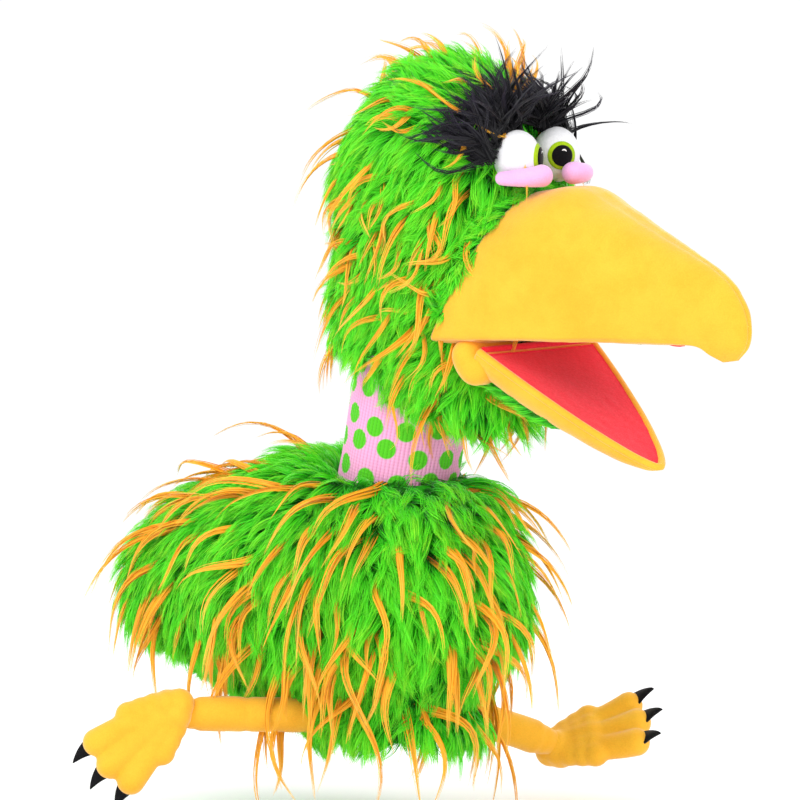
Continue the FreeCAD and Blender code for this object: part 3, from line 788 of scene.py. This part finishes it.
def mouth_felt(name, start, level, thick, body, node, place):
    """A felt lining cut to the mouth's outline, lying at a level given by x and y, with its own thickness."""
    t = smooth_table(np.column_stack([JAW, JAW[:, 0]]), 60)
    keep = (t[:, 1] > LINING_INSET + 1) & (t[:, 0] >= start)
    u, half = t[keep, 0], t[keep, 1] - LINING_INSET
    v = np.linspace(-1, 1, 41)
    x = np.repeat(u[:, None], len(v), 1)
    y = half[:, None] * v[None, :]
    tops = np.stack([MOUTH[0] + x, y, level(MOUTH[0] + x, y)], -1)
    tops[..., 2] += 0.25 * lumps(tops.reshape(-1, 3), 7, 5.0).reshape(x.shape)
    under = tops - (0, 0, thick)
    rows, cols = x.shape
    faces = grid_faces(rows, cols, False)
    rim = np.concatenate([np.arange(cols), np.arange(1, rows) * cols + cols - 1,
                          (rows - 1) * cols + np.arange(cols - 2, -1, -1), np.arange(rows - 2, 0, -1) * cols])
    n = rows * cols
    sides = np.stack([rim, rim + n, np.roll(rim, -1) + n, np.roll(rim, -1)], -1)
    points = place(np.vstack([tops.reshape(-1, 3), under.reshape(-1, 3)]))
    ob = mesh_object(name, points, np.vstack([faces[:, ::-1], faces + n, sides]))
    wear(ob, RED)
    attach(ob, body)
    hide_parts(node)


def build_beak():
    upper = capped_tube("upper_beak_plush", beak_grid())
    wear(upper, YELLOW)
    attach(upper, "head")
    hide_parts("upper_beak_cover", "upper_beak_stuffing", "upper_mouth_board")
    mouth_felt("upper_mouth_felt", 3.2, lambda x, y: roof_of_mouth(x, y) - 0.2, 1.5, "head", "upper_mouth_lining",
               lambda p: p)


LIP_R = 3.4
ROLL_OUT, ROLL_R = 18.5, 14.5     # the corner rolls' distance from the hinge, and their own radius


def build_jaw():
    rows, cols = 70, 64
    t = smooth_table(np.column_stack([JAW, JAW[:, 0]]), rows)
    a = np.linspace(0, TURN, cols, endpoint=False)
    c, s = np.cos(a), np.sin(a)
    level = np.where(s[None, :] > 0, -1.2 * s[None, :], t[:, 2:3] * -(np.abs(s[None, :]) ** 0.9))
    wide = np.sign(c) * np.abs(c) ** 0.8
    grid = np.stack([np.repeat(MOUTH[0] + t[:, 0:1], cols, 1), wide * t[:, 1:2], MOUTH[2] + level], -1)
    seam = np.exp(-((wide * t[:, 1:2]) / SEAM_WIDE) ** 2) * (s < 0)
    grid[..., 2] += seam * 1.2
    flat = grid.reshape(-1, 3)
    flat[:, 2] += np.where(level.ravel() < -2, 0.7 * lumps(flat, 18, 2.0), 0)
    spoon = capped_tube("lower_beak_plush", jaw_place(flat).reshape(grid.shape))
    wear(spoon, YELLOW)
    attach(spoon, "jaw")
    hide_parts("lower_beak_cover", "lower_beak_stuffing", "lower_mouth_board", "thumb_pocket")

    def tongue_side(x, y):
        return MOUTH[2] + 0.6 - 1.2 * (1 - (y / np.interp(x, MOUTH[0] + JAW[:, 0], JAW[:, 1])) ** 2)
    mouth_felt("lower_mouth_felt", 3.4, tongue_side, 1.4, "jaw", "lower_mouth_lining", jaw_place)

    # The rolled lip round the lining's edge.
    keep = t[:, 1] > 4
    right = np.stack([MOUTH[0] + t[keep, 0], t[keep, 1] - 2.5, np.full(keep.sum(), MOUTH[2] - 1.0)], 1)
    path = np.vstack([right, (right * (1, -1, 1))[::-1]])
    way = unit(np.gradient(path, axis=0))
    out = unit(np.cross(way, (0, 0, 1.0)))
    ring = np.linspace(0, TURN, 14, endpoint=False)
    tube = path[:, None, :] + LIP_R * (np.cos(ring)[None, :, None] * out[:, None, :]
                                       + np.sin(ring)[None, :, None] * np.array((0, 0, 0.85)))
    lip = capped_tube("lower_lip_roll", jaw_place(tube.reshape(-1, 3)).reshape(tube.shape))
    wear(lip, YELLOW)
    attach(lip, "jaw")
    # The padded rolls that follow the hinge behind the mouth's corners.
    rolls = []
    for side in (-1, 1):
        for back in np.linspace(-128, -92, 5):
            b = math.radians(back)
            for y in np.linspace(24, 59, 6):
                centre = MOUTH + np.array((math.cos(b) * ROLL_OUT, side * y, math.sin(b) * ROLL_OUT))
                rolls.append((jaw_place(centre), (ROLL_R, ROLL_R, ROLL_R)))
    corners = soft_union("mouth_corner_pads", rolls)
    wear(corners, YELLOW)
    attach(corners, "jaw")
    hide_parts("mouth_corner_rolls")


build_beak()
build_jaw()
# The short pile that laps onto the root of the beak.
roots, outs, ahead = beak_fringe(520, rng)
for side, sign in (("left", 1), ("right", -1)):
    mine = roots[:, 1] * sign > 0
    p, n = roots[mine], outs[mine]
    flow = drift(p, 20.0, 0.8, 41.0) - ahead * 0.35 + np.array((0, 0, -0.35))
    hairs = locks(p, n, flow, rng, 19.0, lift=0.95, droop=0.12, wave=0.2, spread=4.6, gather=0.68, hairs=14,
                  width=0.85)
    pile("beak_root_fringe_" + side, [hairs], GREEN, "head", [])


# ---- eyes, lids and brows -----------------------------------------------------------------------
GAZE = math.radians(33)   # each eye looks this far across the beak
IRIS_R, PUPIL_R, FELT = 11.4, 8.5, 0.9
LID_OUT = 22.5            # the lower lid's distance from the eye's middle
BROW_LOCKS = 230


def dome(name, centre, gaze, radius, lift, thick, mat):
    """A felt disc that follows the eye's curve."""
    up = unit(np.array((0, 0, 1.0)) - gaze * gaze[2])
    side = np.cross(up, gaze)
    rings, cols = 9, 48
    a = np.linspace(0, TURN, cols, endpoint=False)
    points = []
    for k in range(rings):
        r = radius * min(1.0, k / (rings - 2)) + 0.001
        drop = 0.0 if k < rings - 1 else thick + 0.6
        disc = centre + gaze * 30 + (np.cos(a)[:, None] * side + np.sin(a)[:, None] * up) * r
        rel = (disc - centre) / EYE_SIZE
        step = gaze / EYE_SIZE
        b, c = (rel * step).sum(1), (rel * rel).sum(1) - 1
        q = (step * step).sum()
        back = disc + gaze * ((-b + np.sqrt(np.maximum(b * b - q * c, 0))) / q)[:, None]
        crown = thick * (1 - 0.4 * (r / radius) ** 6)
        points.append(back + gaze * (lift + crown - drop))
    grid = np.stack(points)
    ob = capped_tube(name, grid)
    wear(ob, mat)
    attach(ob, "head")
    return ob


def build_eye(side):
    flip = np.array((1, 1 if side == "left" else -1, 1))
    centre = EYE * flip
    gaze = unit(np.array((math.cos(GAZE), -math.sin(GAZE), 0.02)) * flip)
    eye = soft_union("eye_plush_" + side, [(centre, EYE_SIZE)], voxel=1.2, smooth=2)
    wear(eye, WHITE)
    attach(eye, "head")
    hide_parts("eye_" + side)
    iris = dome("iris_felt_" + side, centre, gaze, IRIS_R, 0.0, FELT, LIME)
    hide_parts("iris_" + side)
    pupil = dome("pupil_felt_" + side, centre, gaze, PUPIL_R, FELT, FELT, PUPIL)
    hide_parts("pupil_" + side)
    balls = []
    for f in np.linspace(0, 1, 14):
        turn = math.radians(-12 + 92 * f)
        spot = np.array((math.cos(turn) * LID_OUT, math.sin(turn) * LID_OUT * flip[1], -13.5 - 1.5 * f))
        r = 9.2 - 3.4 * f
        balls.append((centre + spot, (r, r, r)))
    lid = soft_union("eyelid_plush_" + side, balls, voxel=1.1, smooth=4)
    wear(lid, PINK)
    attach(lid, "head")
    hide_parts("eyelid_" + side)

    # The brow fans out behind the eye, from its outer side over its top.
    count = BROW_LOCKS
    turn = np.radians(rng.uniform(-6, 118, count))
    out = np.stack([np.zeros(count), np.cos(turn), np.sin(turn)], 1)
    root = EYE + out * rng.uniform(20, 27, count)[:, None]
    root = root - np.array((1.0, 0, 0)) * rng.uniform(4, 15, count)[:, None]
    high = ramp(np.degrees(turn), 25, 75)[:, None]
    way = high * np.array((-0.22, 0, 0.95)) + (1 - high) * np.array((-0.75, 0, 0.45))
    way = unit(way + out * (0.3, 0.2, 0.3) + rng.normal(0, 0.27, (count, 3)) * (1, 0.6, 1))
    root, way, out = root * flip, way * flip, out * flip
    length = 40 + 44 * rng.random(count) ** 1.3
    stand = unit(out * (1, 0.6, 1) + np.array((0.1, 0, 0.3)))
    hairs = locks(root, stand, way, rng, length, lift=0.6, droop=0.02, wave=0.3, spread=4.2, gather=0.93, hairs=14,
                  width=0.95, steps=6, shorter=0.3)
    pile("brow_pile_" + side, [hairs], BLACK, "head", ["eyebrow_" + side])


for side in ("left", "right"):
    build_eye(side)


# ---- legs and feet ----------------------------------------------------------------------------
TOES = (-1, 0, 1)
CLAW_LEN, CLAW_HALF, CLAW_THICK = 17, 6.2, 1.3
CLAW_SECTION = ((-1, 0.5), (-0.9, 1), (0.9, 1), (1, 0.5), (1, -0.5), (0.9, -1), (-0.9, -1), (-1, -0.5))


def toe_tip(toe):
    """How far from the ankle a toe's last ball lies; the middle toe is the longest."""
    return FOOT_LEN - 12 - 4 * abs(toe)


def build_leg(side, direction, toes, across):
    """A leg from the hip along direction; its foot points along toes, its sole's width lies along across."""
    hip = HIP[side]
    ankle = hip + direction * ANKLE_AT
    toes = unit(np.array(toes))
    normal = unit(np.cross(toes, across))
    across = np.cross(normal, toes)
    rings, cols = 60, 40
    up = unit(np.array((0, 0, 1.0)) - direction * direction[2])
    right = np.cross(direction, up)
    h = np.linspace(-4, ANKLE_AT + 3, rings)
    a = np.linspace(0, TURN, cols, endpoint=False)
    ends = np.minimum(ramp(h, -8, 6), 1 - 0.35 * ramp(h, LEG_LEN - 12, ANKLE_AT + 3))
    crease = 1 - 0.05 * np.exp(-((h - LEG_LEN * 0.55) / 3) ** 2) - 0.06 * np.exp(-((h - LEG_LEN + 6) / 3) ** 2)
    radius = (LEG_R * ends * crease)[:, None] * (1 - 0.035 * np.exp(-((a[None, :] - 4.7) / 0.08) ** 2))
    grid = hip + h[:, None, None] * direction + radius[..., None] * (
        np.cos(a)[None, :, None] * right + np.sin(a)[None, :, None] * up)
    flat = grid.reshape(-1, 3)
    out = unit(flat - hip - ((flat - hip) @ direction)[:, None] * direction)
    flat = flat + out * (0.7 * lumps(flat, 16, 4.0))[:, None]
    leg = capped_tube("leg_plush_" + side, flat.reshape(grid.shape))
    wear(leg, YELLOW)
    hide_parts("leg_" + side, "leg_stuffing_" + side)
    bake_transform(leg)

    def local(x, y, z=0.0):
        return ankle + toes * (x - 4) + across * (y - 4) + normal * (z + 8)
    half = np.ones(3)
    balls = []
    for x, r in ((-4, 10), (4, 12.5), (14, 13), (24, 13), (34, 13)):
        for y in np.linspace(-1, 1, 5):
            spread = 4 + (x + 4) * 0.42
            balls.append((local(x, y * spread), half * (r - abs(y) * 2.0)))
    for x, y in ((-2, 0), (6, -5), (6, 5)):
        balls.append((local(x, y, 4.0), half * 12.5))
    balls.append((ankle, half * 11.0))
    for toe in TOES:
        for f in np.linspace(0, 1, 8):
            x = 32 + (toe_tip(toe) - 32) * f
            y = toe * (13 + 7.5 * f)
            balls.append((local(x, y, 1.5 * math.sin(f * 3)), half * (10.0 + 1.6 * f)))
    foot = soft_union("foot_plush_" + side, balls, voxel=1.5, smooth=12)
    wear(foot, YELLOW)
    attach(foot, "foot_" + side)
    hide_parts("foot_" + side, "foot_stuffing_" + side)

    for toe in TOES:
        lean = unit(toes + across * toe * 0.18 - normal * 0.5)
        sidew = unit(np.cross(normal, lean))
        flat = np.cross(lean, sidew)
        base = local(toe_tip(toe), toe * 20.5) + lean * 9
        f = np.linspace(0, 1, 10)[:, None]
        mid = base + lean * f * CLAW_LEN + sidew * 4 * f**2
        wide = sidew * (CLAW_HALF * (1 - f) ** 0.8 + 0.25)
        rings = np.stack([mid + wide * w + flat * CLAW_THICK * h for w, h in CLAW_SECTION], 1)
        claw = capped_tube("claws_felt_%s_%d" % (side, toe + 2), rings)
        wear(claw, BLACK_FELT)
        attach(claw, "foot_" + side)
    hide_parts("claws_" + side)


build_leg("left", along(68, -19), (0.756, 0.580, 0.288), (0.648, -0.421, -0.617))
build_leg("right", along(226, 1), (-0.398, -0.634, -0.624), (0.518, 0.382, -0.717))

# ---- CAD nodes that stay -------------------------------------------------------------------------
KEPT = {
    LINING: ["arm_sleeve", "sleeve_hem", "sleeve_seam_band", "neck_lining", "wrist_cuff", "finger_pocket",
             "head_liner"],
    YELLOW: ["hip_tab_left", "hip_tab_right"],
    RED: ["mouth_fold"],
    # The eye spots carry a painted highlight in white felt.
    PAINTED_GLINT: ["eye_spot_left", "eye_spot_right"],
}
for mat, names in KEPT.items():
    for node in names:
        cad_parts[node].data.materials.clear()
        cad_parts[node].data.materials.append(mat)

# ---- jaw pile: the strip of fur under the jaw -----------------------------------------------------
count = 420
EDGE = 0.78               # how far round the jaw's section the strip reaches
u, v = rng.uniform(8, 74, count), rng.uniform(-1, 1, count)
half = np.interp(u, JAW[:, 0], JAW[:, 1]) * EDGE
depth = np.interp(u, JAW[:, 0], JAW[:, 2])
p = MOUTH + np.stack([u, half * v, -depth * np.sqrt(1 - (v * EDGE) ** 2)], 1)
n = unit(np.stack([np.zeros(count), v * 0.6, np.full(count, -1.0)], 1))
flow = np.tile(np.array((-0.7, 0, -0.5)), (count, 1))
p, n, flow = jaw_place(p), jaw_place(n + MOUTH) - MOUTH, jaw_place(flow + MOUTH) - MOUTH
hairs = locks(p, n, flow, rng, 26.0, lift=0.5, droop=0.3, spread=4.0, hairs=11, width=1.0)
pile("jaw_pile", [hairs], GREEN, "jaw", ["jaw_fur"])

# ---- floor, light and camera -------------------------------------------------------------------
AZIMUTH, RISE, DISTANCE = math.radians(42), math.radians(5), 25.0
VIEW_WIDTH = 0.640
SENSOR = 36
right = Vector((math.cos(AZIMUTH), math.sin(AZIMUTH), 0))
ahead = Vector((-math.sin(AZIMUTH) * math.cos(RISE), math.cos(AZIMUTH) * math.cos(RISE), -math.sin(RISE)))
up = right.cross(ahead)
target = right * 0.008 + up * 0.268

cam_data = bpy.data.cameras.new("camera")
cam_data.sensor_width = SENSOR
cam_data.clip_end = 200
cam_data.lens = SENSOR * DISTANCE / VIEW_WIDTH
camera = bpy.data.objects.new("camera", cam_data)
turned = Matrix((right, up, -ahead)).transposed().to_4x4()
camera.matrix_world = Matrix.Translation(target - ahead * DISTANCE) @ turned
bpy.context.scene.collection.objects.link(camera)
bpy.context.scene.camera = camera

FLOOR_HALF, FLOOR_GAP = 60000.0, 8.0      # the floor's half width, and its distance below the claws, mm
floor_z = min(p[2] for p in cad_bounds) / MM - FLOOR_GAP
floor = mesh_object("floor", np.array([(x * FLOOR_HALF, y * FLOOR_HALF, floor_z) for x, y in
                                       ((-1, -1), (1, -1), (1, 1), (-1, 1))]), [(0, 1, 2, 3)])
floor_mat, _, _ = new_material("pale_floor", (0.97, 0.97, 0.97), rough=0.95, specular=0.0)
floor.data.materials.append(floor_mat)


LIT = Vector((0.05, 0, 0.28))     # what every lamp faces


def area_light(name, where, size, power):
    data = bpy.data.lights.new(name, "AREA")
    data.shape, data.size, data.energy = "DISK", size, power
    ob = bpy.data.objects.new(name, data)
    ob.location = where
    ob.rotation_euler = (LIT - Vector(where)).to_track_quat("-Z", "Y").to_euler()
    bpy.context.scene.collection.objects.link(ob)


area_light("key", right * -1.0 - ahead * 1.6 + Vector((0, 0, 1.7)), 1.2, 22)
area_light("fill", right * 1.5 - ahead * 1.2 + Vector((0, 0, 0.7)), 1.4, 6)
area_light("rim", ahead * 1.4 + Vector((0, 0, 1.5)), 1.0, 8)

world = bpy.data.worlds.new("studio")
world.use_nodes = True
world.node_tree.nodes["Background"].inputs["Color"].default_value = (1, 1, 1, 1)
world.node_tree.nodes["Background"].inputs["Strength"].default_value = 1.06
bpy.context.scene.world = world
bpy.context.scene.view_settings.view_transform = "Standard"
